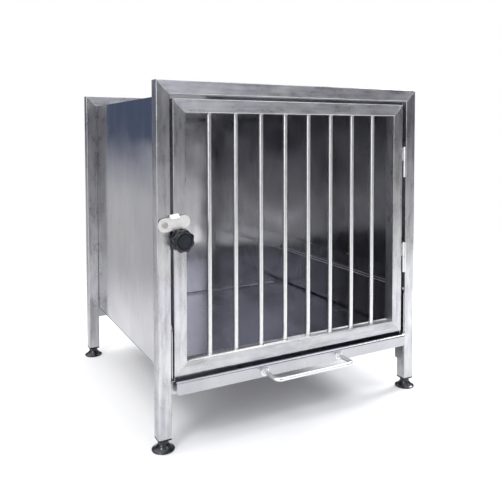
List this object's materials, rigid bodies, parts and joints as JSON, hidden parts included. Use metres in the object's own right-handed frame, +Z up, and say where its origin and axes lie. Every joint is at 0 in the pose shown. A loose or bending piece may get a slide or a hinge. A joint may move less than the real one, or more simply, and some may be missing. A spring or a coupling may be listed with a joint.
{
  "type": "kennel cage",
  "caption": "Stainless steel kennel cage with a barred swing door, swing latch and knob, slide-out floor tray with a pull handle, and levelling feet.",
  "frame": {"origin": "middle of the outline of the whole cage, tray handle included, on the floor", "axes": "+X runs along the front from the latch side to the hinge side, +Y from the door to the back, +Z up"},
  "size_m": [0.617, 0.6214, 0.665],
  "materials": {
    "satin_tube": "satin ground stainless square tube, ground flush at the mitred welds",
    "bright_bar": "bright drawn stainless rod",
    "mirror_sheet": "mirror-polished stainless sheet with a slight waviness",
    "folded_angle": "folded polished stainless angle",
    "tray_sheet": "satin stainless sheet with fine scratches",
    "hinge_steel": "turned stainless barrel",
    "latch_steel": "bright pressed stainless plate",
    "fastener_steel": "plain stainless fastener",
    "foot_plastic": "glossy black moulded plastic",
    "socket_plastic": "black moulded plastic plug",
    "knob_plastic": "semi-gloss black moulded knob",
    "knob_cap_plastic": "fine-grained black cap"
  },
  "bodies": {
    "frame": {"back_panel": "mirror_sheet", "cam_keeper": "folded_angle", "front_bottom_rail": "satin_tube", "front_left_foot_socket": "socket_plastic", "front_left_leg": "satin_tube", "front_right_foot_socket": "socket_plastic", "front_right_leg": "satin_tube", "front_top_rail": "satin_tube", "hinge_pins": "fastener_steel", "latch_screw": "fastener_steel", "latch_spacer": "fastener_steel", "left_grid_rail": "folded_angle", "left_side_panel": "mirror_sheet", "left_tray_guide": "folded_angle", "lower_hinge_frame_knuckle": "hinge_steel", "rear_bottom_rail": "satin_tube", "rear_left_foot_socket": "socket_plastic", "rear_left_leg": "satin_tube", "rear_right_foot_socket": "socket_plastic", "rear_right_leg": "satin_tube", "rear_top_rail": "satin_tube", "right_grid_rail": "folded_angle", "right_side_panel": "mirror_sheet", "right_tray_guide": "folded_angle", "roof_panel": "mirror_sheet", "upper_hinge_frame_knuckle": "hinge_steel"},
    "door": {"door_bar_1": "bright_bar", "door_bar_2": "bright_bar", "door_bar_3": "bright_bar", "door_bar_4": "bright_bar", "door_bar_5": "bright_bar", "door_bar_6": "bright_bar", "door_bar_7": "bright_bar", "door_bar_8": "bright_bar", "door_bottom_rail": "satin_tube", "door_left_stile": "satin_tube", "door_right_stile": "satin_tube", "door_top_rail": "satin_tube", "knob_rose": "knob_plastic", "lower_hinge_door_knuckle": "hinge_steel", "spindle_bush": "fastener_steel", "upper_hinge_door_knuckle": "hinge_steel"},
    "latch": {"latch_plate": "latch_steel"},
    "knob": {"knob": "knob_plastic", "knob_cap": "knob_cap_plastic", "knob_spindle": "fastener_steel", "latch_cam": "fastener_steel", "cam_nut": "fastener_steel"},
    "tray": {"tray_pan": "tray_sheet", "tray_handle": "bright_bar", "handle_collars": "bright_bar", "handle_screws": "fastener_steel"},
    "front_left_foot": {"front_left_foot_base": "foot_plastic", "front_left_foot_stud": "fastener_steel"},
    "front_right_foot": {"front_right_foot_base": "foot_plastic", "front_right_foot_stud": "fastener_steel"},
    "rear_left_foot": {"rear_left_foot_base": "foot_plastic", "rear_left_foot_stud": "fastener_steel"},
    "rear_right_foot": {"rear_right_foot_base": "foot_plastic", "rear_right_foot_stud": "fastener_steel"}
  },
  "joints": [
    {"name": "door_hinge", "type": "hinge", "parent": "frame", "child": "door", "pos_m": [0.26975, -0.24925, 0.381], "axis": [0, 0, 1], "range_deg": [0, 180]},
    {"name": "latch_swing", "type": "hinge", "parent": "frame", "child": "latch", "pos_m": [-0.2875, -0.25075, 0.409], "axis": [0, -1, 0], "range_deg": [0, 85]},
    {"name": "knob_turn", "type": "hinge", "parent": "door", "child": "knob", "pos_m": [-0.257, -0.24775, 0.3805], "axis": [0, -1, 0], "range_deg": [0, 90]},
    {"name": "tray_slide", "type": "slide", "parent": "frame", "child": "tray", "axis": [0, -1, 0], "range_m": [0, 0.45]},
    {"name": "front_left_foot_height", "type": "slide", "parent": "frame", "child": "front_left_foot", "axis": [0, 0, -1], "range_m": [0, 0.015]},
    {"name": "front_right_foot_height", "type": "slide", "parent": "frame", "child": "front_right_foot", "axis": [0, 0, -1], "range_m": [0, 0.015]},
    {"name": "rear_left_foot_height", "type": "slide", "parent": "frame", "child": "rear_left_foot", "axis": [0, 0, -1], "range_m": [0, 0.015]},
    {"name": "rear_right_foot_height", "type": "slide", "parent": "frame", "child": "rear_right_foot", "axis": [0, 0, -1], "range_m": [0, 0.015]}
  ]
}
